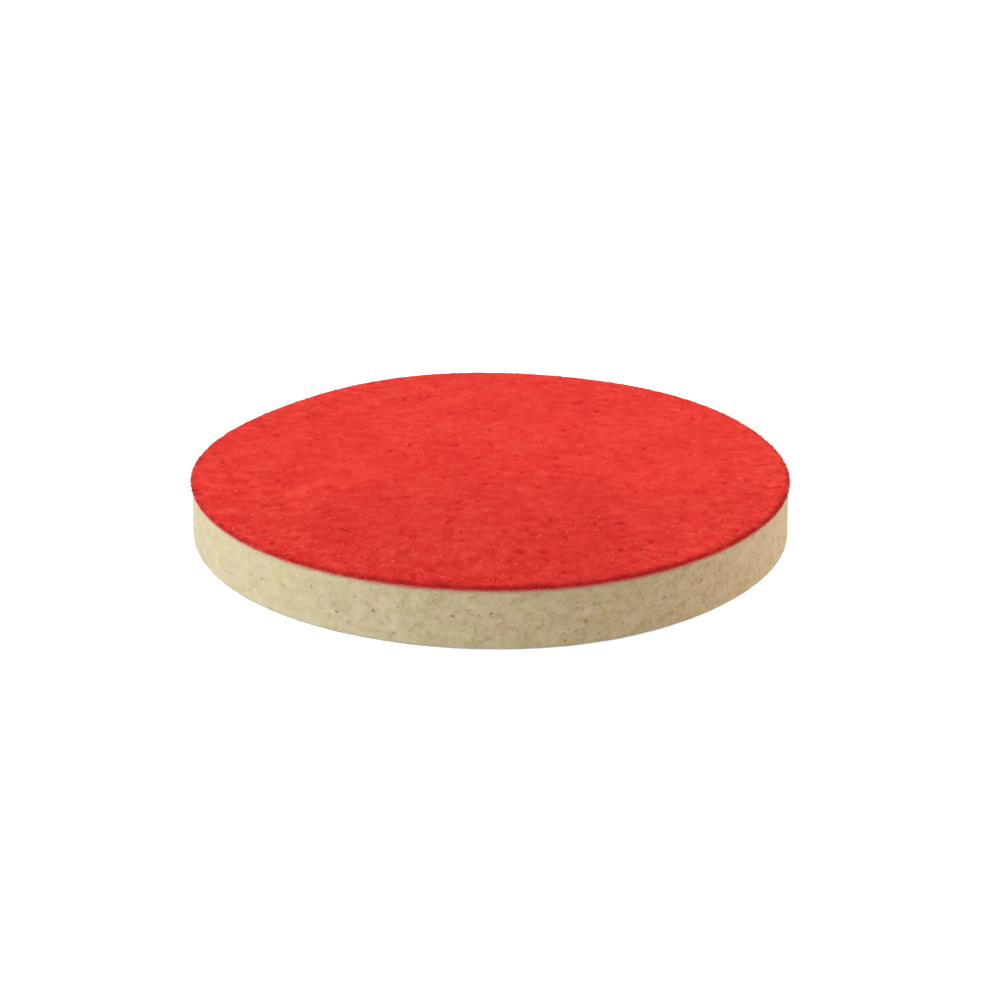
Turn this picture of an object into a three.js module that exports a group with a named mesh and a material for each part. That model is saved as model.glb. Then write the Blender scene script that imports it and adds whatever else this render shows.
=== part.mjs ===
// Hook-and-loop felt polishing disc: a thick disc of pressed wool felt with a thin loop cloth
// bonded over one face. The felt face does the polishing, and the loop cloth grips the hook
// face of a backing plate. Millimetres, +Z up, origin at the centre of the felt's working face.

import * as THREE from 'three';

// Driving dimensions
const DISC_DIAMETER = 100;
const DISC_HEIGHT = 10;
const CLOTH_THICKNESS = 1;
const PILE_HEIGHT = 0.625;
const FILM_THICKNESS = 0.25;

// The film and the knitted ground stop a little short of the cut edge, which hides them
const FILM_INSET = 0.3;
const GROUND_INSET = 0.1;

// A knife-cut edge is never quite sharp: radii of the corners of each layer
const FELT_CORNER = 0.3;
const PILE_CORNER = 0.35;
const THIN_LAYER_CORNER = 0.05;

const SEGMENTS_AROUND = 120;
const SEGMENTS_PER_CORNER = 3;

// Levels where one layer ends and the next begins
const radius = DISC_DIAMETER / 2;
const clothBottom = DISC_HEIGHT - CLOTH_THICKNESS;
const feltTop = clothBottom - FILM_THICKNESS;
const groundTop = DISC_HEIGHT - PILE_HEIGHT;

// A quarter circle from one angle to another, as profile points (radius, height)
function cornerArc(centre, size, startAngle) {
  const points = [];
  for (let i = 0; i <= SEGMENTS_PER_CORNER; i += 1) {
    const angle = startAngle + (Math.PI / 2) * (i / SEGMENTS_PER_CORNER);
    const x = centre.x + size * Math.cos(angle);
    const y = centre.y + size * Math.sin(angle);
    points.push(new THREE.Vector2(x, y));
  }
  return points;
}

// A round layer with eased corners, turned about +Z from a profile that starts and ends on the axis
function layerGeometry(layerRadius, bottom, top, bottomCorner, topCorner) {
  const lowerCentre = new THREE.Vector2(layerRadius - bottomCorner, bottom + bottomCorner);
  const upperCentre = new THREE.Vector2(layerRadius - topCorner, top - topCorner);
  const profile = [
    new THREE.Vector2(0, bottom),
    ...cornerArc(lowerCentre, bottomCorner, -Math.PI / 2),
    ...cornerArc(upperCentre, topCorner, 0),
    new THREE.Vector2(0, top),
  ];
  return new THREE.LatheGeometry(profile, SEGMENTS_AROUND).rotateX(Math.PI / 2);
}

// Adds one named layer of the stack
function addLayer(stack, name, geometry, material) {
  const layer = new THREE.Mesh(geometry, material);
  layer.name = name;
  stack.add(layer);
}

const pressedFelt = new THREE.MeshStandardMaterial({ color: 0xcdbe98, roughness: 0.95, metalness: 0 });
const hotMeltFilm = new THREE.MeshStandardMaterial({ color: 0xd8cfc0, roughness: 0.5, metalness: 0 });
const knittedGround = new THREE.MeshStandardMaterial({ color: 0xb03a34, roughness: 0.9, metalness: 0 });
const loopPile = new THREE.MeshStandardMaterial({ color: 0xe53e36, roughness: 0.95, metalness: 0 });

const disc = new THREE.Group();

// The pressed wool felt, whose flat underside is the working face
addLayer(
  disc,
  'felt_body',
  layerGeometry(radius, 0, feltTop, FELT_CORNER, THIN_LAYER_CORNER),
  pressedFelt,
);

// The hot-melt adhesive film that bonds the cloth to the felt
addLayer(
  disc,
  'adhesive_film',
  layerGeometry(radius - FILM_INSET, feltTop, clothBottom, THIN_LAYER_CORNER, THIN_LAYER_CORNER),
  hotMeltFilm,
);

// The knitted ground of the loop cloth
addLayer(
  disc,
  'loop_ground',
  layerGeometry(radius - GROUND_INSET, clothBottom, groundTop, THIN_LAYER_CORNER, THIN_LAYER_CORNER),
  knittedGround,
);

// The brushed loops that the hooks of a backing plate catch
addLayer(
  disc,
  'loop_pile',
  layerGeometry(radius, groundTop, DISC_HEIGHT, THIN_LAYER_CORNER, PILE_CORNER),
  loopPile,
);

export default disc;
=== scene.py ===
import math

import bmesh
import bpy
import numpy as np
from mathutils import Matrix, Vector


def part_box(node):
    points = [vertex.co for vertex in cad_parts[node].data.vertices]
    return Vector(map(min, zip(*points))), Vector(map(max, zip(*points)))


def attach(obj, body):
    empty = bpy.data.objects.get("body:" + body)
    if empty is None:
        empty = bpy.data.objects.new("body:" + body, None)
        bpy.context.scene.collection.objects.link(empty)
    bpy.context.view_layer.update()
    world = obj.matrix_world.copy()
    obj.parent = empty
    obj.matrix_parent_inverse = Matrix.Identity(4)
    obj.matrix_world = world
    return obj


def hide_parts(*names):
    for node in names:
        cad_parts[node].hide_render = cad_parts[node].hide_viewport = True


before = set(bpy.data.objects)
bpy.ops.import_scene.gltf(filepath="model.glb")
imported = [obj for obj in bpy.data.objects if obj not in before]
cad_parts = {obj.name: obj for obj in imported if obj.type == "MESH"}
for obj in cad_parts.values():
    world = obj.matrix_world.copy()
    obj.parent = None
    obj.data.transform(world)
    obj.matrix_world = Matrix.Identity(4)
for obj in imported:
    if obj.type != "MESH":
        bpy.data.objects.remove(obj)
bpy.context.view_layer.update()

# Shapes are worked out in millimetres, and turned into metres when a mesh is made.
MM = 0.001
BODY = "root"
UP = np.array([0.0, 0.0, 1.0])


def levels(node):
    """A layer's underside, upper side and radius, in millimetres, from the frame."""
    low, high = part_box(node)
    return low.z / MM, high.z / MM, high.x / MM


FELT_BOTTOM, FELT_TOP, RADIUS = levels("felt_body")
FILM_BOTTOM, FILM_TOP, FILM_RADIUS = levels("adhesive_film")
GROUND_BOTTOM, GROUND_TOP, GROUND_RADIUS = levels("loop_ground")
PILE_BOTTOM, PILE_TOP, PILE_RADIUS = levels("loop_pile")

# The outline wanders a little from a true circle, as the photo's does: lobes, height as a share of the
# radius, and angle of a peak in degrees
OUTLINE_LOBES = ((3, 0.0055, -33.5), (4, 0.0058, 12.6), (5, 0.0037, -31.5), (6, 0.0034, -10.6))

# Spacing of the fine meshes, in millimetres
PILE_SPACING = 0.294
FELT_SPACING = 0.235
FACE_SPACING = 0.62


# ---------------------------------------------------------------- repeatable noise

def hashed(ix, iy, iz, salt):
    """A repeatable number from 0 to 1 for each whole-number cell."""
    h = (ix * 374761393 + iy * 668265263 + iz * 2147483647 + salt * 974634777) & 0xFFFFFFFF
    h = ((h ^ (h >> 13)) * 1274126177) & 0xFFFFFFFF
    h = ((h ^ (h >> 15)) * 2246822519) & 0xFFFFFFFF
    return ((h ^ (h >> 16)) & 0xFFFFFF) / 0xFFFFFF


def noise(points, size, salt):
    """Smooth noise from -1 to 1 with features of about that size, in millimetres."""
    scaled = points / size
    cell = np.floor(scaled).astype(np.int64)
    part = scaled - cell
    part = part * part * part * (part * (part * 6 - 15) + 10)
    total = np.zeros(len(points))
    for dx in (0, 1):
        for dy in (0, 1):
            for dz in (0, 1):
                corner = np.array([dx, dy, dz])
                weight = np.where(corner == 1, part, 1 - part).prod(axis=1)
                ix, iy, iz = (cell + corner).T
                total += weight * hashed(ix, iy, iz, salt)
    return total * 2 - 1


def layered_noise(points, size, salt, octaves=3, fade=0.55):
    """Noise with finer noise over it, about -1 to 1."""
    total, weight, height = 0.0, 1.0, 0.0
    for octave in range(octaves):
        total = total + weight * noise(points, size / 2**octave, salt + octave)
        height += weight
        weight *= fade
    return total / height * 1.4


def dimples(points, spacing, widest, share, salt):
    """Depth from 0 to 1 of round dimples, the largest with radius widest, scattered one to a cell of that
    spacing, in that share of the cells."""
    scaled = points / spacing
    cell = np.floor(scaled).astype(np.int64)
    deepest = np.zeros(len(points))
    for dx in (-1, 0, 1):
        for dy in (-1, 0, 1):
            for dz in (-1, 0, 1):
                ix, iy, iz = (cell + np.array([dx, dy, dz])).T
                draws = [hashed(ix, iy, iz, salt + k) for k in range(5)]
                centre = np.stack([ix + draws[0], iy + draws[1], iz + draws[2]], axis=1)
                reach = widest * (0.45 + 0.55 * draws[3]) / spacing
                far = np.linalg.norm(scaled - centre, axis=1) / reach
                bowl = np.clip(1 - far * far, 0, 1) ** 1.5
                deepest = np.maximum(deepest, np.where(draws[4] < share, bowl, 0.0))
    return deepest


def smooth_step(low, high, value):
    """0 below low, 1 above high, and an even curve between."""
    t = np.clip((value - low) / (high - low), 0, 1)
    return t * t * (3 - 2 * t)


# ---------------------------------------------------------------- meshes

def outline(theta):
    """Share of the radius at an angle round the disc."""
    share = np.ones_like(theta)
    for lobes, height, peak in OUTLINE_LOBES:
        share += height * np.cos(lobes * (theta - math.radians(peak)))
    return share


def around(radius, spacing):
    """How many points of about that spacing go round a ring."""
    return max(6, round(2 * math.pi * radius / spacing))


def ring_skin(rings):
    """A closed skin through rings of (radius, height, points around), the first and last a single point.
    Returns each point's radius, height, angle and profile normal, and the triangles."""
    profile = np.array([(radius, height) for radius, height, _ in rings])
    counts = [count for _, _, count in rings]
    start = np.concatenate([[0], np.cumsum(counts)])
    along = np.gradient(profile, axis=0)
    normal = np.stack([-along[:, 1], along[:, 0]], axis=1)
    normal /= np.linalg.norm(normal, axis=1, keepdims=True)
    triangles = []
    for k in range(len(rings) - 1):
        n, m, a, b = counts[k], counts[k + 1], start[k], start[k + 1]
        if n > 1:
            i = np.arange(n)
            j = -((n - (2 * i + 1) * m) // (2 * n))
            triangles.append(np.stack([a + i, b + j % m, a + (i + 1) % n], axis=1))
        if m > 1:
            j = np.arange(m)
            i = ((2 * j + 1) * n - m) // (2 * m) + 1
            triangles.append(np.stack([a + i % n, b + j, b + (j + 1) % m], axis=1))
    radius, height = np.repeat(profile, counts, axis=0).T
    theta = np.concatenate([np.arange(count) * 2 * math.pi / count for count in counts])
    return radius, height, theta, np.repeat(normal, counts, axis=0), np.concatenate(triangles)


def placed(radius, height, theta):
    """Points in millimetres, with the outline's wander."""
    reach = radius * outline(theta)
    return np.stack([reach * np.cos(theta), reach * np.sin(theta), height], axis=1)


def outward(theta):
    """Level unit vectors at angles round the disc."""
    return np.stack([np.cos(theta), np.sin(theta), np.zeros_like(theta)], axis=-1)


def sideways(theta):
    """Level unit vectors a quarter turn on from outward(theta)."""
    return np.stack([-np.sin(theta), np.cos(theta), np.zeros_like(theta)], axis=-1)


def pushed(points, theta, normal, distance):
    """Points moved out along their profile normals."""
    out, up = (normal * distance[:, None]).T
    return points + outward(theta) * out[:, None] + UP * up[:, None]


def tubes(lines, radius, sides):
    """Closed thin tubes along many lines of points at once. radius has one number for each point."""
    fibres, steps, _ = lines.shape
    along = np.gradient(lines, axis=1)
    along /= np.linalg.norm(along, axis=2, keepdims=True)
    across = np.cross(along, UP)
    across /= np.maximum(np.linalg.norm(across, axis=2, keepdims=True), 1e-9)
    upward = np.cross(across, along)
    turn = np.arange(sides) * 2 * math.pi / sides
    ring = across[:, :, None] * np.cos(turn)[:, None] + upward[:, :, None] * np.sin(turn)[:, None]
    points = lines[:, :, None] + ring * radius[:, :, None, None]
    index = np.arange(fibres * steps * sides).reshape(fibres, steps, sides)
    a, b = index[:, :-1], np.roll(index, -1, axis=2)[:, :-1]
    d, c = index[:, 1:], np.roll(index, -1, axis=2)[:, 1:]
    triangles = [np.stack([a, d, c], axis=-1).reshape(-1, 3), np.stack([a, c, b], axis=-1).reshape(-1, 3)]
    for k in range(1, sides - 1):
        triangles.append(np.stack([index[:, 0, 0], index[:, 0, k], index[:, 0, k + 1]], axis=1))
        triangles.append(np.stack([index[:, -1, 0], index[:, -1, k + 1], index[:, -1, k]], axis=1))
    return points.reshape(-1, 3), np.concatenate(triangles)


def make_piece(name, points, triangles, material, slot, replaces=(), **values):
    """A shown piece of the disc, riding on its body. values are kept at each point for the material."""
    mesh = bpy.data.meshes.new(name)
    mesh.from_pydata((points * MM).tolist(), [], triangles.tolist())
    mesh.polygons.foreach_set("use_smooth", np.ones(len(triangles), bool))
    for key, numbers in values.items():
        mesh.attributes.new(key, "FLOAT", "POINT").data.foreach_set("value", numbers.astype(np.float32))
    mesh.materials.append(material)
    mesh.update()
    piece = bpy.data.objects.new(name, mesh)
    bpy.context.scene.collection.objects.link(piece)
    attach(piece, BODY)
    if replaces:
        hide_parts(*replaces)
    return piece


# ---------------------------------------------------------------- material helpers

RANGE_SOCKETS = "From Min", "From Max", "To Min", "To Max"


class Nodes:
    """A material's node tree, with a short call for each kind of node used here."""

    def __init__(self, name, **constants):
        self.material = bpy.data.materials.new(name)
        self.material.use_nodes = True
        self.tree = self.material.node_tree
        self.shader = self.tree.nodes["Principled BSDF"]
        for socket, value in constants.items():
            self.shader.inputs[socket.replace("_", " ")].default_value = value
        self.place = self.tree.nodes.new("ShaderNodeTexCoord").outputs["Object"]

    def feed(self, socket, value):
        if isinstance(value, bpy.types.NodeSocket):
            self.tree.links.new(value, socket)
        else:
            socket.default_value = value

    def stretched(self, stretch):
        """The place on the object, with features drawn out along each axis by that much."""
        node = self.tree.nodes.new("ShaderNodeMapping")
        node.inputs["Scale"].default_value = [1 / s for s in stretch]
        self.feed(node.inputs["Vector"], self.place)
        return node.outputs[0]

    def noise(self, size, detail=3.0, roughness=0.55, distortion=0.0, stretch=None):
        """Noise from 0 to 1 with features of about that size, in millimetres."""
        node = self.tree.nodes.new("ShaderNodeTexNoise")
        node.inputs["Scale"].default_value = 1 / (size * MM)
        node.inputs["Detail"].default_value = detail
        node.inputs["Roughness"].default_value = roughness
        node.inputs["Distortion"].default_value = distortion
        self.feed(node.inputs["Vector"], self.stretched(stretch) if stretch else self.place)
        return node.outputs["Fac"]

    def cells(self, size, stretch=None):
        """Distance from the nearest of many scattered points, 0 to about 1, and that point's own colour."""
        node = self.tree.nodes.new("ShaderNodeTexVoronoi")
        node.inputs["Scale"].default_value = 1 / (size * MM)
        self.feed(node.inputs["Vector"], self.stretched(stretch) if stretch else self.place)
        return node.outputs["Distance"], node.outputs["Color"]

    def kept(self, key):
        """A number kept at each point of the mesh."""
        node = self.tree.nodes.new("ShaderNodeAttribute")
        node.attribute_name = key
        return node.outputs["Fac"]

    def mapped(self, value, low, high, to_low=0.0, to_high=1.0):
        """A value from low to high turned into one from to_low to to_high, and held there past both ends."""
        node = self.tree.nodes.new("ShaderNodeMapRange")
        self.feed(node.inputs["Value"], value)
        for socket, number in zip(RANGE_SOCKETS, (low, high, to_low, to_high)):
            self.feed(node.inputs[socket], number)
        return node.outputs["Result"]

    def maths(self, operation, a, b=0.0):
        node = self.tree.nodes.new("ShaderNodeMath")
        node.operation = operation
        self.feed(node.inputs[0], a)
        self.feed(node.inputs[1], b)
        return node.outputs[0]

    def ramp(self, value, *stops):
        """Colour from a value, through (value, colour) stops."""
        node = self.tree.nodes.new("ShaderNodeValToRGB")
        elements = node.color_ramp.elements
        while len(elements) < len(stops):
            elements.new(0.5)
        for element, (at, colour) in zip(elements, stops):
            element.position = at
            element.color = (*colour, 1)
        self.feed(node.inputs["Fac"], value)
        return node.outputs["Color"]

    def mix(self, share, a, b, mode="MIX"):
        """Colour a with that share of colour b in it."""
        node = self.tree.nodes.new("ShaderNodeMix")
        node.data_type = "RGBA"
        node.blend_type = mode
        self.feed(node.inputs["Factor"], share)
        colour_sockets = [s for s in node.inputs if s.type == "RGBA"]
        for socket, colour in zip(colour_sockets, (a, b)):
            self.feed(socket, colour if isinstance(colour, bpy.types.NodeSocket) else (*colour, 1))
        return next(s for s in node.outputs if s.type == "RGBA")

    def bump(self, height, depth, strength=1.0, over=None):
        """A bump of that depth, in millimetres, over another if one is given."""
        node = self.tree.nodes.new("ShaderNodeBump")
        node.inputs["Strength"].default_value = strength
        node.inputs["Distance"].default_value = depth * MM
        self.feed(node.inputs["Height"], height)
        if over is not None:
            self.feed(node.inputs["Normal"], over)
        return node.outputs["Normal"]

    def finish(self, **links):
        """The material, with those sockets of its shader fed."""
        for socket, value in links.items():
            self.feed(self.shader.inputs[socket.replace("_", " ")], value)
        return self.material


# ---------------------------------------------------------------- materials

def pile_material():
    """Short brushed loops: deep red between the tufts with painted shade, lighter at their tips with painted
    sheen, and darkest at the cut edge with painted shade, with soft brush streaks, bunches and single
    threads, and darkened by painted shade towards the middle of the front."""
    n = Nodes("brushed_loop_pile", Specular_IOR_Level=0.03, Sheen_Weight=0.04, Sheen_Roughness=0.45,
              Sheen_Tint=(1.0, 0.3, 0.25, 1))
    # Painted shade and sheen: the nap is darker red deep in the hollows between tufts, lighter and greyer at
    # the tufts' tips
    colour = n.ramp(n.kept("nap"),
                    (0.0, (0.498, 0.010, 0.009)),
                    (0.35, (0.590, 0.020, 0.015)),
                    (0.70, (0.672, 0.037, 0.024)),
                    (1.0, (0.720, 0.062, 0.036)))
    # Painted shade: the cut edge's wall and the rolled-over nap are darkened to a deep red
    colour = n.mix(n.kept("rim"), colour, (0.296, 0.008, 0.006))
    # Painted shade: the nap is darkened towards the middle of the front
    colour = n.mix(n.mapped(n.kept("dulled"), 0.2, 1.0, 0.0, 0.7), colour, (0.82, 0.74, 0.77), "MULTIPLY")
    streaks = n.noise(2.8, detail=2.0, stretch=(1.5, 1.0, 1.0))
    streaked = n.maths("MULTIPLY", n.mapped(streaks, 0.38, 0.66), n.kept("ruffled"))
    colour = n.mix(streaked, colour, (0.94, 0.86, 0.86), "MULTIPLY")
    bunches = n.noise(1.3, detail=3.0, stretch=(1.0, 1.7, 1.0))
    colour = n.mix(n.mapped(bunches, 0.42, 0.60, 0.8, 0.0), colour, (0.96, 0.64, 0.64), "MULTIPLY")
    threads = n.noise(0.26, detail=3.0, roughness=0.7, distortion=0.6)
    colour = n.mix(n.mapped(threads, 0.30, 0.62, 0.4, 0.0), colour, (0.94, 0.60, 0.60), "MULTIPLY")
    normal = n.bump(threads, 0.08, 0.25)
    normal = n.bump(n.noise(0.09, detail=2.0), 0.03, 0.25, over=normal)
    return n.finish(Base_Color=colour, Roughness=n.mapped(threads, 0.2, 0.8, 0.98, 0.82), Normal=normal)


def loop_material():
    """Single nylon filaments of the loops, each with its own shade of red."""
    n = Nodes("nylon_loops", Specular_IOR_Level=0.04, Sheen_Weight=0.04, Sheen_Tint=(1.0, 0.4, 0.35, 1))
    colour = n.ramp(n.kept("shade"),
                    (0.0, (0.315, 0.011, 0.009)),
                    (0.35, (0.522, 0.012, 0.010)),
                    (0.75, (0.690, 0.040, 0.027)),
                    (1.0, (0.850, 0.095, 0.066)))
    grain = n.noise(0.3)
    colour = n.mix(n.mapped(grain, 0.3, 0.7, 0.3, 0.0), colour, (0.85, 0.7, 0.7), "MULTIPLY")
    return n.finish(Base_Color=colour, Roughness=n.mapped(grain, 0.2, 0.8, 0.75, 0.55))


def ground_material():
    """Cut ends of the knitted ground's yarns: crimson, greyed here and there with adhesive."""
    n = Nodes("knitted_ground", Specular_IOR_Level=0.04)
    colour = n.ramp(n.noise(0.6, detail=3.0, stretch=(1, 1, 0.7)),
                    (0.35, (0.239, 0.013, 0.010)),
                    (0.55, (0.315, 0.051, 0.039)),
                    (0.80, (0.382, 0.149, 0.112)))
    colour = n.mix(n.mapped(n.kept("glued"), 0.2, 1.0, 0.0, 0.8), colour, (0.320, 0.143, 0.105))
    ends = n.noise(0.18, detail=2.0)
    return n.finish(Base_Color=colour, Roughness=n.mapped(ends, 0.2, 0.8, 0.95, 0.8),
                    Normal=n.bump(ends, 0.06, 0.6))


def film_material():
    """Hot-melt film squeezed out a little at the edge, cloudy and slightly glossy."""
    n = Nodes("hot_melt_film", Specular_IOR_Level=0.12)
    cloud = n.noise(1.6, detail=3.0)
    colour = n.ramp(cloud, (0.3, (0.312, 0.152, 0.097)), (0.7, (0.349, 0.211, 0.138)))
    return n.finish(Base_Color=colour, Roughness=n.mapped(cloud, 0.3, 0.7, 0.65, 0.45),
                    Normal=n.bump(n.noise(0.4), 0.05, 0.5))


def felt_material():
    """Dense pressed wool felt: soft yellow and pink patches, matted fibres with painted shade in their
    hollows and painted highlight on their tips, faint flecks, pores darkened with painted shade, and a
    painted contact shadow along the foot. It is rougher and more mottled in the speckled stretches."""
    n = Nodes("pressed_wool_felt", Specular_IOR_Level=0.10, Sheen_Weight=0.10, Sheen_Roughness=0.55)
    colour = n.ramp(n.noise(4.2, detail=3.0),
                    (0.30, (0.333, 0.257, 0.127)),
                    (0.50, (0.333, 0.249, 0.137)),
                    (0.70, (0.350, 0.250, 0.149)))
    patches = n.noise(1.9, detail=3.0, distortion=0.6, stretch=(1.4, 1.4, 0.8))
    colour = n.mix(n.mapped(patches, 0.32, 0.52, 0.50, 0.0), colour, (0.86, 0.83, 0.74), "MULTIPLY")
    colour = n.mix(n.mapped(patches, 0.52, 0.72, 0.0, 0.38), colour, (0.412, 0.314, 0.210))
    matting = n.noise(0.55, detail=4.0, roughness=0.65, distortion=0.8, stretch=(1.0, 1.0, 0.8))
    speckled = n.kept("speckled")
    rough_share = n.mapped(speckled, 0.2, 0.8, 0.35, 1.0)
    # Painted shade darkens the matting's hollows and painted highlight lightens its raised tips, where the
    # bump rises
    hollows = n.maths("MULTIPLY", n.mapped(matting, 0.28, 0.60, 0.20, 0.0), rough_share)
    colour = n.mix(hollows, colour, (0.74, 0.70, 0.62), "MULTIPLY")
    tips = n.maths("MULTIPLY", n.mapped(matting, 0.55, 0.80, 0.0, 0.22), rough_share)
    colour = n.mix(tips, colour, (0.411, 0.330, 0.221))
    clumps = n.noise(1.15, detail=2.0, distortion=0.8)
    clumped = n.maths("MULTIPLY", n.mapped(clumps, 0.34, 0.52, 0.85, 0.0), speckled)
    colour = n.mix(clumped, colour, (0.82, 0.77, 0.68), "MULTIPLY")
    distance, draw = n.cells(1.25)
    fleck = n.maths("MULTIPLY", n.mapped(distance, 0.08, 0.36, 1.0, 0.0), n.mapped(draw, 0.56, 0.66))
    flecked = n.maths("MULTIPLY", fleck, n.mapped(speckled, 0.2, 0.9, 0.06, 0.46))
    colour = n.mix(flecked, colour, (0.186, 0.139, 0.074))
    # Painted shade: the pores and cracks of the cut side are darkened
    colour = n.mix(n.mapped(n.kept("pore"), 0.05, 0.9, 0.0, 0.36), colour, (0.176, 0.132, 0.071))
    # Painted contact shadow: the felt's foot is darkened and greyed, most at the front
    colour = n.mix(n.mapped(n.kept("foot"), 0.0, 1.0, 0.0, 0.85), colour, (0.237, 0.211, 0.176))
    normal = n.bump(n.maths("MULTIPLY", matting, rough_share), 0.08, 0.2)
    fuzz = n.noise(0.14, detail=3.0, distortion=1.0)
    normal = n.bump(n.maths("MULTIPLY", fuzz, rough_share), 0.04, 0.25, over=normal)
    return n.finish(Base_Color=colour, Roughness=n.mapped(matting, 0.2, 0.8, 1.0, 0.86), Normal=normal)


def wool_material():
    """Single wool fibres standing off the felt."""
    n = Nodes("wool_fibres", Specular_IOR_Level=0.15, Sheen_Weight=0.10)
    colour = n.ramp(n.kept("shade"),
                    (0.0, (0.300, 0.222, 0.121)),
                    (0.4, (0.325, 0.247, 0.139)),
                    (1.0, (0.375, 0.296, 0.182)))
    grain = n.noise(0.35)
    colour = n.mix(n.mapped(grain, 0.3, 0.7, 0.2, 0.0), colour, (0.8, 0.76, 0.7), "MULTIPLY")
    return n.finish(Base_Color=colour, Roughness=n.mapped(grain, 0.2, 0.8, 0.85, 0.7))


def fleck_material():
    """Bits of straw, burr and dark hair left in the wool, most of them only a little darker than it."""
    n = Nodes("dark_flecks", Specular_IOR_Level=0.12)
    colour = n.ramp(n.kept("shade"),
                    (0.0, (0.145, 0.106, 0.056)),
                    (0.25, (0.205, 0.150, 0.080)),
                    (0.75, (0.265, 0.196, 0.107)),
                    (0.90, (0.363, 0.285, 0.176)))
    grain = n.noise(0.2)
    colour = n.mix(n.mapped(grain, 0.3, 0.7, 0.3, 0.0), colour, (0.7, 0.65, 0.6), "MULTIPLY")
    return n.finish(Base_Color=colour, Roughness=n.mapped(grain, 0.2, 0.8, 0.9, 0.75),
                    Normal=n.bump(grain, 0.04, 0.5))


# ---------------------------------------------------------------- loop pile

RIM_ROUNDING = 0.52
ROUNDING_STEPS = 4
# The nap lies this far below its highest tufts where nothing ruffles it
NAP_REST = 0.16
# The cut nap bulges this far at the disc's wall, and is dented this deep where it rolls over
WALL_BULGE = 0.05
ROLLED_DENTS = 0.32
# The angle at which the cut nap hangs furthest over the edge
DROOP_CENTRE = math.radians(-72)
# The rim's painted shade fades in over RIM_FADE, measured along the skin from RIM_START past the edge,
# and from DROOP_REACH less where the nap hangs furthest
RIM_START = 0.70
RIM_FADE = -0.95, 0.85
DROOP_REACH = 1.1
# The nap gets more ruffled, and its painted shade darker, from the first y to the second, in millimetres
FRONT_FROM, FRONT_TO = 8, -34
# and its painted shade fades from the first distance either side of the middle to the second
SHADE_FADE_FROM, SHADE_FADE_TO = 12, 36
# Rings of the pile's hidden underside: share of the radius, points around
UNDERSIDE_RINGS = ((0.9, 120), (0.4, 40))


def edge_share(points):
    """0 over most of the disc, rising to 1 at its edge, where the nap is more ruffled."""
    return smooth_step(0.70, 0.98, np.linalg.norm(points[:, :2], axis=1) / RADIUS)


def front_share(points):
    """0 over the back of the disc, rising to 1 at its front, where the photo's nap is more ruffled."""
    return smooth_step(FRONT_FROM, FRONT_TO, points[:, 1])


def dulled_share(points):
    """How much painted shade darkens the nap: 1 at the middle of the front, less at its sides and 0 at the
    back.
    """
    return front_share(points) * (1 - 0.6 * smooth_step(SHADE_FADE_FROM, SHADE_FADE_TO, np.abs(points[:, 0])))


def ruffled_share(points):
    """How ruffled the nap is: about a third where it lies calm, up to 1.1 in patches at the front edge."""
    patches = smooth_step(-0.3, 0.7, noise(points * (0.7, 1.0, 1.0), 9.0, 20))
    return 0.34 + 0.22 * patches + 0.25 * edge_share(points) + 0.32 * front_share(points)


def droop(theta):
    """How far the cut nap hangs over the edge at an angle, from 0 at the back to 1 at the front."""
    return 0.5 + 0.5 * np.cos(theta - DROOP_CENTRE)


def nap_depth(points):
    """How far the nap lies below its highest tufts, in millimetres."""
    ruffled = ruffled_share(points)
    wander = np.stack([noise(points, 1.7, 3), noise(points, 1.7, 4), 0 * points[:, 0]], axis=1)
    drift = points + 0.5 * wander
    tufts = layered_noise(drift * (1.0, 0.7, 1.0), 1.05, 10)
    knots = dimples(drift * (1.0, 0.7, 1.0), 1.2, 0.80, 0.9, 15)
    ridges = layered_noise(drift * (0.6, 1.0, 1.0), 1.3, 24, octaves=2)
    swell = noise(points, 8.0, 22)
    small = dimples(drift * (1.0, 0.75, 1.0), 1.4, 0.60, 0.6, 30)
    pits = dimples(drift * (1.5, 0.7, 1.0), 2.3, 0.85, 0.45, 40)
    # Every factor below is a height in millimetres
    return (NAP_REST - 0.02 * swell - ruffled * (0.065 * knots + 0.03 * tufts - 0.045 * small)
            - (0.02 + 0.04 * ruffled) * ridges + 0.14 * pits)


def pile_rings():
    """Rings of the pile's skin, from the middle of its face, over the rounded rim and back underneath."""
    inner = PILE_RADIUS - RIM_ROUNDING
    steps = round(inner / PILE_SPACING)
    rings = [(0.0, PILE_TOP, 1)]
    for k in range(1, steps):
        radius = inner * k / steps
        rings.append((radius, PILE_TOP, around(radius, PILE_SPACING)))
    rim_count = around(PILE_RADIUS, PILE_SPACING)
    for k in range(ROUNDING_STEPS + 1):
        angle = math.radians(90 - 90 / ROUNDING_STEPS * k)
        rings.append((inner + RIM_ROUNDING * math.cos(angle),
                      PILE_TOP - RIM_ROUNDING * (1 - math.sin(angle)), rim_count))
    rings.append((PILE_RADIUS - 0.02, PILE_BOTTOM, rim_count))
    rings.append((PILE_RADIUS - 0.6, PILE_BOTTOM, rim_count // 2))
    rings += [(PILE_RADIUS * share, PILE_BOTTOM, count) for share, count in UNDERSIDE_RINGS]
    rings.append((0.0, PILE_BOTTOM, 1))
    return rings


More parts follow.
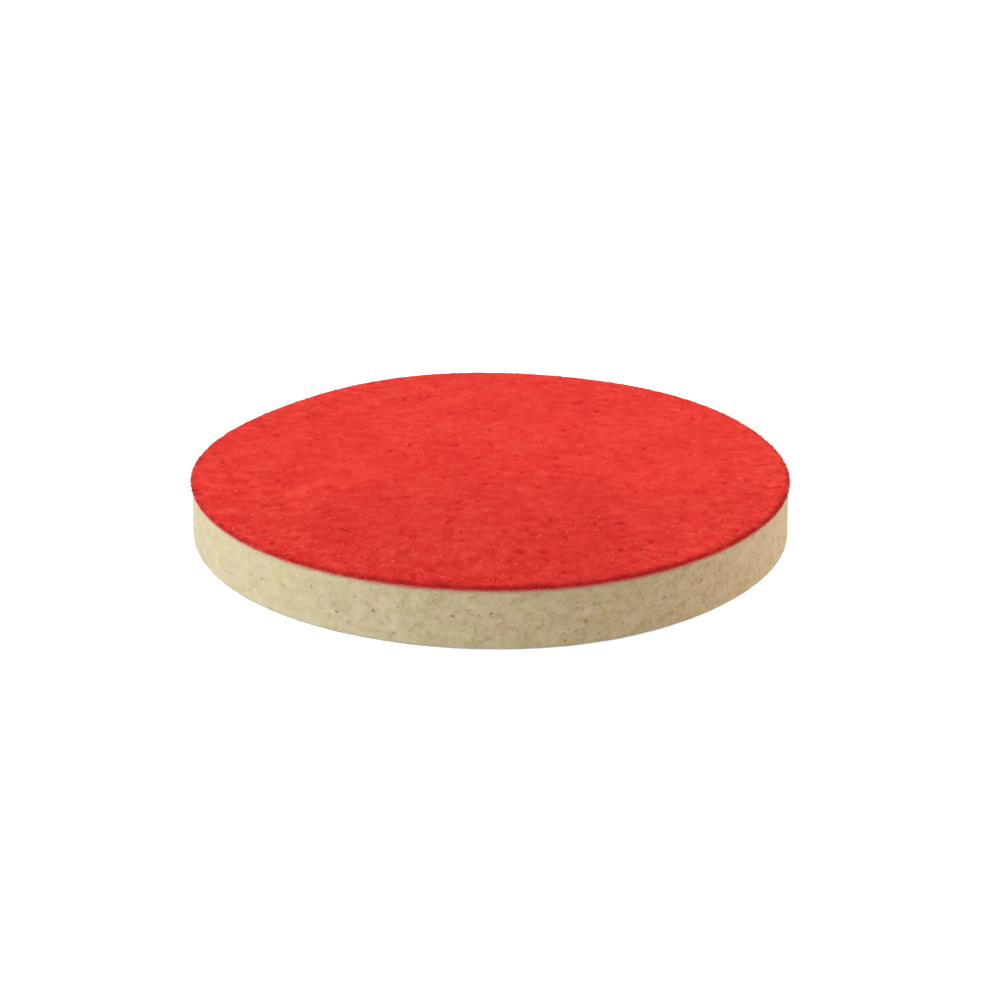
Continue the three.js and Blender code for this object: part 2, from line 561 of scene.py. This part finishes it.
def build_pile(material):
    """The brushed face: a flat nap of tufts and small hollows, rolling over at the cut edge."""
    radius, height, theta, normal, triangles = ring_skin(pile_rings())
    points = placed(radius, height, theta)
    shown = height > PILE_BOTTOM + 0.01
    on_wall = (normal[:, 0] > 0.7) & shown
    frayed = 0.11 * layered_noise(points * (1, 1, 0.5), 0.9, 50) + 0.05 * noise(points, 0.35, 55)
    frayed *= 0.35 + 0.65 * droop(theta)
    depth = np.where(on_wall, -WALL_BULGE - frayed, nap_depth(points))
    rolled = smooth_step(0.15, 0.6, normal[:, 0]) * shown
    depth += ROLLED_DENTS * rolled * droop(theta) * dimples(points * (1, 1, 0.6), 1.5, 0.5, 0.7, 57)
    points = pushed(points, theta, normal, np.where(shown, -depth, 0.0))
    ragged = 0.55 * layered_noise(points, 1.1, 52) + 0.30 * noise(points, 3.2, 56)
    ragged = ragged + 0.25 * noise(points, 0.5, 58)
    past_rim = (radius - PILE_RADIUS) + (PILE_TOP - height) + ragged + DROOP_REACH * droop(theta) - RIM_START
    # The rim's painted shade is darkest at the disc's left and right
    rim = (0.76 + 0.20 * np.abs(np.cos(theta))) * smooth_step(*RIM_FADE, past_rim)
    # nap runs from 0 deep in the hollows to 1 at the tips, and drives the pile's painted shade and sheen
    return make_piece("loop_pile_nap", points, triangles, material, "loop_pile", ["loop_pile"],
                      nap=1 - smooth_step(0.05, 0.33, depth), rim=rim,
                      ruffled=ruffled_share(points), dulled=dulled_share(points))


def surface_height(points):
    """Height of the nap at points over the disc, in millimetres."""
    flat = np.stack([points[:, 0], points[:, 1], np.full(len(points), PILE_TOP)], axis=1)
    return PILE_TOP - nap_depth(flat)


LOOP_STEPS = 7
LOOP_SIDES = 3
# The ends of each loop lie this far inside the nap, in millimetres
ENDS_SUNK = 0.05


def loops_over_nap(name, material, count, seed, thickness, length, rise, lightness, spread, gather):
    """Filaments raised by the brush, arching over the nap. thickness, length and rise are least and most
    values in millimetres, lightness is a least and most place on the loops' colour ramp, spread is how far
    they turn from the brushed way, in radians, and gather is 0 for an even cover or 1 for the ruffled parts
    only."""
    draw = np.random.default_rng(seed)
    reach = (PILE_RADIUS - 0.5) * np.sqrt(draw.uniform(0, 1, count))
    theta = draw.uniform(0, 2 * math.pi, count)
    reach *= outline(theta)
    foot = outward(theta) * reach[:, None]
    heading = draw.normal(0, spread, count)
    long = draw.uniform(*length, count)
    top = draw.uniform(*rise, count) * (1 + 0.5 * edge_share(foot))
    curl = draw.normal(0, 0.22, count)
    thick = draw.uniform(*thickness, count)
    shade = draw.uniform(*lightness, count)
    wanted = draw.uniform(0, 1, count) > gather * (1 - smooth_step(0.4, 1.1, ruffled_share(foot)))
    t = np.linspace(0, 1, LOOP_STEPS)
    lines = foot[:, None] + outward(heading)[:, None] * (long[:, None] * (t - 0.5))[..., None]
    sway = curl[:, None] * np.sin(math.pi * t) + 0.08 * np.sin(7 * t + theta[:, None])
    lines = lines + sideways(heading)[:, None] * sway[..., None]
    inside = np.linalg.norm(lines[:, :, :2], axis=2).max(axis=1) < PILE_RADIUS * 0.992
    kept = wanted & inside
    lines, top, thick, shade = lines[kept], top[kept], thick[kept], shade[kept]
    lines[:, :, 2] = surface_height(lines.reshape(-1, 3)).reshape(lines.shape[:2])
    lines[:, :, 2] += -ENDS_SUNK + (top[:, None] + ENDS_SUNK) * np.sin(math.pi * t) ** 0.8
    radius = thick[:, None] * (1 - 0.35 * np.abs(2 * t - 1))
    points, triangles = tubes(lines, radius, LOOP_SIDES)
    return make_piece(name, points, triangles, material, "loop_pile",
                      shade=np.repeat(shade, LOOP_STEPS * LOOP_SIDES))


RIM_FIBRES = 2600
RIM_STEPS = 6
RIM_SIDES = 3


def build_rim_fibres(material):
    """Cut filaments all round the cloth's edge: some stick out a little, most hang over it."""
    draw = np.random.default_rng(12)
    theta = draw.uniform(0, 2 * math.pi, RIM_FIBRES)
    height = draw.uniform(PILE_BOTTOM + 0.15, PILE_TOP - 0.10, RIM_FIBRES)
    edge = placed(np.full(RIM_FIBRES, PILE_RADIUS - 0.06), height, theta)
    length = draw.uniform(0.25, 0.75, RIM_FIBRES)
    lift = draw.uniform(-0.8, 0.5, RIM_FIBRES)
    slant = draw.normal(0, 0.9, RIM_FIBRES)
    thick = draw.uniform(0.022, 0.048, RIM_FIBRES)
    # The rim fibres take only the darker half of the loops' colours: painted shade that goes with the rim's
    shade = draw.uniform(0, 0.5, RIM_FIBRES)
    t = np.linspace(0, 1, RIM_STEPS)
    bend = t * t
    lines = edge[:, None] + outward(theta)[:, None] * (length[:, None] * 0.42 * np.sin(1.6 * t))[..., None]
    lines = lines + sideways(theta)[:, None] * ((length * slant)[:, None] * bend)[..., None]
    lines[:, :, 2] += (length * lift)[:, None] * bend
    lines[:, :, 2] = np.clip(lines[:, :, 2], GROUND_BOTTOM + 0.05, PILE_TOP + 0.1)
    radius = thick[:, None] * (1 - 0.5 * t)
    points, triangles = tubes(lines, radius, RIM_SIDES)
    return make_piece("rim_fibres", points, triangles, material, "loop_pile",
                      shade=np.repeat(shade, RIM_STEPS * RIM_SIDES))


# ---------------------------------------------------------------- ground cloth and film

STITCH_PITCH = 0.55
# The ground's cut edge: spacing of its points, how far it bulges, and rings down it
EDGE_SPACING = 0.11
EDGE_BULGE = 0.06
EDGE_STEPS = 5


def build_ground(material):
    """The knitted ground: a thin flat sheet whose cut edge shows the ends of its yarns."""
    thick = GROUND_TOP - GROUND_BOTTOM
    count = around(GROUND_RADIUS, EDGE_SPACING)
    inner = [(0.0, 1), (GROUND_RADIUS * 0.3, 60), (GROUND_RADIUS * 0.7, 180),
             (GROUND_RADIUS * 0.97, count // 4), (GROUND_RADIUS - 0.25, count)]
    rings = [(radius, GROUND_TOP, n) for radius, n in inner]
    for k in range(EDGE_STEPS + 1):
        bulge = EDGE_BULGE * math.sin(math.pi * k / EDGE_STEPS)
        rings.append((GROUND_RADIUS - EDGE_BULGE + bulge, GROUND_TOP - thick * k / EDGE_STEPS, count))
    rings += [(radius, GROUND_BOTTOM, n) for radius, n in reversed(inner)]
    radius, height, theta, _, triangles = ring_skin(rings)
    points = placed(radius, height, theta)
    stitches = round(2 * math.pi * GROUND_RADIUS / STITCH_PITCH)
    phase = stitches * theta + 1.2 * noise(points, 2.5, 60)
    ends = 0.045 * np.abs(np.sin(phase / 2 + 4 * (height - GROUND_BOTTOM))) + 0.03 * noise(points, 0.4, 61)
    at_edge = smooth_step(GROUND_RADIUS - 0.3, GROUND_RADIUS - 0.1, radius)
    points += outward(theta) * (ends * at_edge)[:, None]
    return make_piece("knitted_ground", points, triangles, material, "knitted_ground", ["loop_ground"],
                      glued=(GROUND_TOP - height) / thick)


def build_film(material):
    """The adhesive film, whose edge wanders in and out where it was squeezed."""
    count = around(FILM_RADIUS, 0.3)
    middle = (FILM_BOTTOM + FILM_TOP) / 2
    inner = [(0.0, 1), (FILM_RADIUS * 0.5, 90), (FILM_RADIUS - 0.4, count)]
    edge = [(0.15, FILM_TOP), (0.20, middle), (0.17, FILM_BOTTOM)]
    rings = [(radius, FILM_TOP, n) for radius, n in inner]
    rings += [(FILM_RADIUS + squeezed, height, count) for squeezed, height in edge]
    rings += [(radius, FILM_BOTTOM, n) for radius, n in reversed(inner)]
    radius, height, theta, _, triangles = ring_skin(rings)
    points = placed(radius, height, theta)
    squeeze = 0.06 * layered_noise(points * (1, 1, 0), 2.4, 70)
    at_edge = (radius > FILM_RADIUS - 0.1).astype(float)
    points += outward(theta) * (squeeze * at_edge)[:, None]
    return make_piece("adhesive_line", points, triangles, material, "hot_melt_film", ["adhesive_film"])


# ---------------------------------------------------------------- felt body

FELT_ROUNDING = 0.30
# How far down the felt's eased top edge ends, and how far down its rough side starts
TOP_EASING = 0.04
SIDE_START = 0.14
# How far the side stands out past the radius at its top and at its bottom
SIDE_AT_TOP = -0.13
SIDE_AT_BOTTOM = 0.36
# Flecks and mottle are thickest at this angle, as in the photo, and, by guess, opposite it
FLECK_CENTRE = math.radians(-75)


def fleck_share(theta):
    """Share of the flecks kept at an angle: they gather in two stretches, one of them in front."""
    return 0.15 + 0.85 * (0.5 + 0.5 * np.cos(2 * (theta - FLECK_CENTRE))) ** 1.2


def side_lean(height):
    """How far the cut side stands out past the disc's radius at a height: the side spreads a little towards
    the working face, as the photo's two rims ask for."""
    down = np.clip((FELT_TOP - height) / (FELT_TOP - FELT_BOTTOM), 0, 1)
    return SIDE_AT_TOP + (SIDE_AT_BOTTOM - SIDE_AT_TOP) * down


def side_roughness(points):
    """How far the cut side stands out from its mean, in millimetres, and how much of it is pore, 0 to 1."""
    matting = 0.035 * layered_noise(points, 1.3, 80) + 0.015 * noise(points, 0.5, 85)
    pores = dimples(points, 1.7, 0.42, 0.5, 90)
    cracks = dimples(points * (1.0, 1.0, 1.7), 3.1, 0.7, 0.5, 100)
    pore = np.maximum(pores * 0.8, cracks)
    return matting - 0.09 * pore, pore


def felt_rings():
    """Rings of the felt's skin, from the middle of its bonded face, down the side and back underneath."""
    count = around(RADIUS, FELT_SPACING)
    rings = [(0.0, FELT_TOP, 1)]
    rings += [(RADIUS * share, FELT_TOP, n) for share, n in ((0.4, 60), (0.8, 180), (0.97, count // 2))]
    rings.append((RADIUS + SIDE_AT_TOP - 0.05, FELT_TOP, count))
    rings.append((RADIUS + SIDE_AT_TOP - 0.01, FELT_TOP - TOP_EASING, count))
    side_low = FELT_BOTTOM + FELT_ROUNDING
    steps = round((FELT_TOP - SIDE_START - side_low) / FELT_SPACING)
    for k in range(steps + 1):
        height = FELT_TOP - SIDE_START + (side_low - FELT_TOP + SIDE_START) * k / steps
        rings.append((RADIUS + side_lean(height), height, count))
    lowest_side = RADIUS + side_lean(side_low)
    for k in (1, 2, 3):
        angle = math.radians(30 * k)
        rings.append((lowest_side - FELT_ROUNDING * (1 - math.cos(angle)),
                      side_low - FELT_ROUNDING * math.sin(angle), count))
    radius, spacing = RADIUS - 0.7, FELT_SPACING * 1.3
    while radius > 1.5 * spacing:
        rings.append((radius, FELT_BOTTOM, around(radius, spacing)))
        spacing = min(FACE_SPACING, spacing * 1.35)
        radius -= spacing
    rings.append((0.0, FELT_BOTTOM, 1))
    return rings


def build_felt(material):
    """The pressed felt: a rough knife-cut side, eased edges and a napped working face underneath."""
    radius, height, theta, normal, triangles = ring_skin(felt_rings())
    points = placed(radius, height, theta)
    rough, pore = side_roughness(points)
    shown = (height < FELT_TOP - 0.02).astype(float)
    underneath = smooth_step(0.5, 0.95, -normal[:, 1])
    rough = rough * (1 - underneath) - underneath * (0.05 + 0.05 * layered_noise(points, 1.6, 110))
    points = pushed(points, theta, normal, rough * shown)
    points[:, 2] = np.maximum(points[:, 2], FELT_BOTTOM)
    # The foot's painted contact shadow: darkest along its lowest half millimetre and strongest at the front
    low = height - FELT_BOTTOM + 0.12 * noise(points, 1.5, 112)
    painted_shadow_share = 0.25 + 0.75 * smooth_step(0.1, 0.7, -np.sin(theta))
    foot = (1 - smooth_step(0.12, 0.55, low)) * (radius > RADIUS - 0.5) * painted_shadow_share
    return make_piece("pressed_felt", points, triangles, material, "pressed_felt", ["felt_body"],
                      pore=pore * shown * (1 - underneath), foot=foot, speckled=fleck_share(theta))


WOOL_FIBRES = 3000
WOOL_STEPS = 7
WOOL_SIDES = 3
WOOL_THICKNESS = 0.018


def build_wool(material):
    """Loose wool fibres lying along the cut side, some lifting off it."""
    draw = np.random.default_rng(21)
    theta = draw.uniform(0, 2 * math.pi, WOOL_FIBRES)
    height = draw.uniform(FELT_BOTTOM + 0.25, FELT_TOP - 0.1, WOOL_FIBRES)
    heading = draw.normal(0, 0.6, WOOL_FIBRES)
    length = draw.uniform(0.8, 2.6, WOOL_FIBRES)
    curl = draw.normal(0, 0.3, WOOL_FIBRES)
    t = np.linspace(0, 1, WOOL_STEPS)
    run = length[:, None] * (t - 0.5)
    sway = curl[:, None] * np.sin(math.pi * t) + 0.1 * np.sin(6 * t + theta[:, None])
    angle = theta[:, None] + (run * np.cos(heading)[:, None] - sway * np.sin(heading)[:, None]) / RADIUS
    z = height[:, None] + run * np.sin(heading)[:, None] + sway * np.cos(heading)[:, None]
    z = np.clip(z, FELT_BOTTOM + 0.06, FELT_TOP + 0.05)
    lift = draw.uniform(-0.01, 0.012, WOOL_FIBRES) + (draw.uniform(0, 1, WOOL_FIBRES) > 0.96) * 0.12
    on_side = placed((RADIUS + side_lean(z)).ravel(), z.ravel(), angle.ravel())
    rough, _ = side_roughness(on_side)
    stand = rough.reshape(z.shape) - 0.03 + (lift + 0.03)[:, None] * np.sin(math.pi * t)
    lines = on_side.reshape(*z.shape, 3) + outward(angle) * stand[..., None]
    thick = WOOL_THICKNESS * (1 - 0.3 * np.abs(2 * t - 1))
    points, triangles = tubes(lines, np.broadcast_to(thick, z.shape), WOOL_SIDES)
    shade = draw.uniform(0, 1, WOOL_FIBRES)
    return make_piece("wool_fibres", points, triangles, material, "pressed_felt",
                      shade=np.repeat(shade, WOOL_STEPS * WOOL_SIDES))


FLECK_DRAWS = 430
FLECK_THICKNESS = 0.06
FLECK_SUNK = 0.042


def build_flecks(material):
    """Bits caught in the felt's side, flat and irregular, nearly flush with it."""
    draw = np.random.default_rng(22)
    shape = bmesh.new()
    bmesh.ops.create_icosphere(shape, subdivisions=2, radius=1.0)
    unit = np.array([v.co for v in shape.verts])
    faces = np.array([[v.index for v in f.verts] for f in shape.faces])
    shape.free()
    theta = draw.uniform(0, 2 * math.pi, FLECK_DRAWS)
    share = np.clip(draw.normal(0.47, 0.23, FLECK_DRAWS), 0.12, 0.94)
    height = share * (FELT_TOP - FELT_BOTTOM) + FELT_BOTTOM
    long = draw.uniform(0.15, 0.55, FLECK_DRAWS)
    wide = np.minimum(long * draw.uniform(0.30, 0.8, FLECK_DRAWS), 0.26)
    bend = draw.normal(0, 0.9, FLECK_DRAWS)
    tilt = draw.normal(0, 0.7, FLECK_DRAWS)
    shade = draw.uniform(0, 1, FLECK_DRAWS)
    kept = draw.uniform(0, 1, FLECK_DRAWS) < fleck_share(theta)
    all_points, all_faces, shades = [], [], []
    for k in np.flatnonzero(kept):
        lumps = 1 + 0.45 * noise(unit + k * 7.3, 0.8, 120)
        body = unit * lumps[:, None] * (long[k], wide[k], FLECK_THICKNESS)
        body[:, 1] += bend[k] * body[:, 0] ** 2
        along = body[:, 0] * math.cos(tilt[k]) - body[:, 1] * math.sin(tilt[k])
        rise = body[:, 0] * math.sin(tilt[k]) + body[:, 1] * math.cos(tilt[k])
        z = height[k] + rise
        angle = theta[k] + along / RADIUS
        base = placed(RADIUS + side_lean(z), z, angle)
        rough, _ = side_roughness(base)
        all_faces.append(faces + len(all_points) * len(unit))
        all_points.append(base + outward(angle) * (rough + body[:, 2] - FLECK_SUNK)[:, None])
        shades.append(np.full(len(unit), shade[k]))
    return make_piece("felt_flecks", np.concatenate(all_points), np.concatenate(all_faces), material,
                      "pressed_felt", shade=np.concatenate(shades))


# ---------------------------------------------------------------- the disc

loops = loop_material()
pile = build_pile(pile_material())
raised = loops_over_nap("raised_loops", loops, count=1300, seed=11, thickness=(0.018, 0.028),
                        length=(0.7, 1.9), rise=(0.01, 0.06), lightness=(0.70, 0.88), spread=0.8, gather=0)
tufts = loops_over_nap("tuft_loops", loops, count=4200, seed=13, thickness=(0.070, 0.130),
                       length=(0.4, 1.0), rise=(0.01, 0.06), lightness=(0.66, 0.92), spread=1.7, gather=1)
fray = build_rim_fibres(loops)
ground = build_ground(ground_material())
build_film(film_material())
felt = build_felt(felt_material())
build_wool(wool_material())
build_flecks(fleck_material())


# ---------------------------------------------------------------- studio

# Half the floor's width, and how far it lies below the disc, in metres
FLOOR_HALF = 0.55
FLOOR_GAP = 0.00005


def build_floor():
    """A plain white surface, lit through from below as a light table is, so that shadows stay faint."""
    n = Nodes("pale_floor", Roughness=0.9, Specular_IOR_Level=0.0, Emission_Strength=0.42,
              Emission_Color=(1, 1, 1, 1), Base_Color=(0.86, 0.86, 0.86, 1))
    mesh = bpy.data.meshes.new("floor")
    z = FELT_BOTTOM * MM - FLOOR_GAP
    corners = [(x * FLOOR_HALF, y * FLOOR_HALF, z) for x, y in ((-1, -1), (1, -1), (1, 1), (-1, 1))]
    mesh.from_pydata(corners, [], [(0, 1, 2, 3)])
    mesh.materials.append(n.material)
    floor = bpy.data.objects.new("floor", mesh)
    bpy.context.scene.collection.objects.link(floor)


def softbox(name, place, size, power, colour):
    """A large soft light aimed at the disc. Sizes are in metres."""
    data = bpy.data.lights.new(name, "AREA")
    data.shape = "RECTANGLE"
    data.size, data.size_y = size
    data.energy = power
    data.color = colour
    light = bpy.data.objects.new(name, data)
    light.location = place
    light.rotation_mode = "QUATERNION"
    light.rotation_quaternion = (-Vector(place)).to_track_quat("-Z", "Y")
    bpy.context.scene.collection.objects.link(light)


def build_world(horizon, overhead, fade):
    """White round the horizon, as a studio's backdrop is, and dimmer overhead. fade is the two elevations,
    in degrees, between which one turns into the other."""
    world = bpy.data.worlds.new("studio")
    world.use_nodes = True
    tree = world.node_tree
    direction = tree.nodes.new("ShaderNodeTexCoord").outputs["Generated"]
    split = tree.nodes.new("ShaderNodeSeparateXYZ")
    tree.links.new(direction, split.inputs[0])
    fall = tree.nodes.new("ShaderNodeMapRange")
    fall.interpolation_type = "SMOOTHSTEP"
    tree.links.new(split.outputs["Z"], fall.inputs["Value"])
    rises = [math.sin(math.radians(degrees)) for degrees in fade]
    for socket, number in zip(RANGE_SOCKETS, (*rises, horizon, overhead)):
        fall.inputs[socket].default_value = number
    background = tree.nodes["Background"]
    background.inputs["Color"].default_value = (1, 1, 1, 1)
    tree.links.new(fall.outputs["Result"], background.inputs["Strength"])
    bpy.context.scene.world = world


build_floor()
# Cool from the left and warm from the right, which is what matched the photo's colours
softbox("back_softbox", (0.0, 0.45, 0.28), (0.6, 0.25), 0.82, (1.0, 1.0, 1.0))
softbox("top_softbox", (0.0, 0.25, 0.80), (0.9, 0.7), 0.05, (1.0, 1.0, 1.0))
softbox("left_softbox", (-0.64, -0.28, 0.28), (0.5, 0.5), 11.6, (0.702, 0.866, 1.0))
softbox("right_softbox", (0.70, -0.15, 0.25), (0.5, 0.5), 3.7, (1.0, 0.893, 0.837))
softbox("rightback_softbox", (0.61, 0.36, 0.35), (0.5, 0.5), 4.75, (0.980, 0.932, 1.0))
build_world(horizon=1.03, overhead=0.05, fade=(14, 32))

# The camera looks down on the disc from the front. The disc sits a little above and left of the middle.
# Lens and sensor are in millimetres, as the distance and the aim are, and the two angles are in degrees.
LENS = 54.0
SENSOR = 36.0
VIEW_DISTANCE = 259.7
VIEW_ELEVATION = 22.27
VIEW_AIM = Vector((1.44, 0.0, 2.60))
VIEW_TURN = 0.34


def build_camera():
    """The scene's camera, at the photo's viewing angle."""
    data = bpy.data.cameras.new("camera")
    data.lens = LENS
    data.sensor_width = SENSOR
    data.clip_start = 0.01
    data.clip_end = 50.0
    camera = bpy.data.objects.new("camera", data)
    elevation, turn = math.radians(VIEW_ELEVATION), math.radians(VIEW_TURN)
    level = math.cos(elevation)
    backward = Vector((-math.sin(turn) * level, -math.cos(turn) * level, math.sin(elevation)))
    camera.location = (VIEW_AIM + backward * VIEW_DISTANCE) * MM
    camera.rotation_mode = "QUATERNION"
    camera.rotation_quaternion = (-backward).to_track_quat("-Z", "Y")
    bpy.context.scene.collection.objects.link(camera)
    bpy.context.scene.camera = camera


build_camera()
bpy.context.scene.view_settings.view_transform = "Standard"
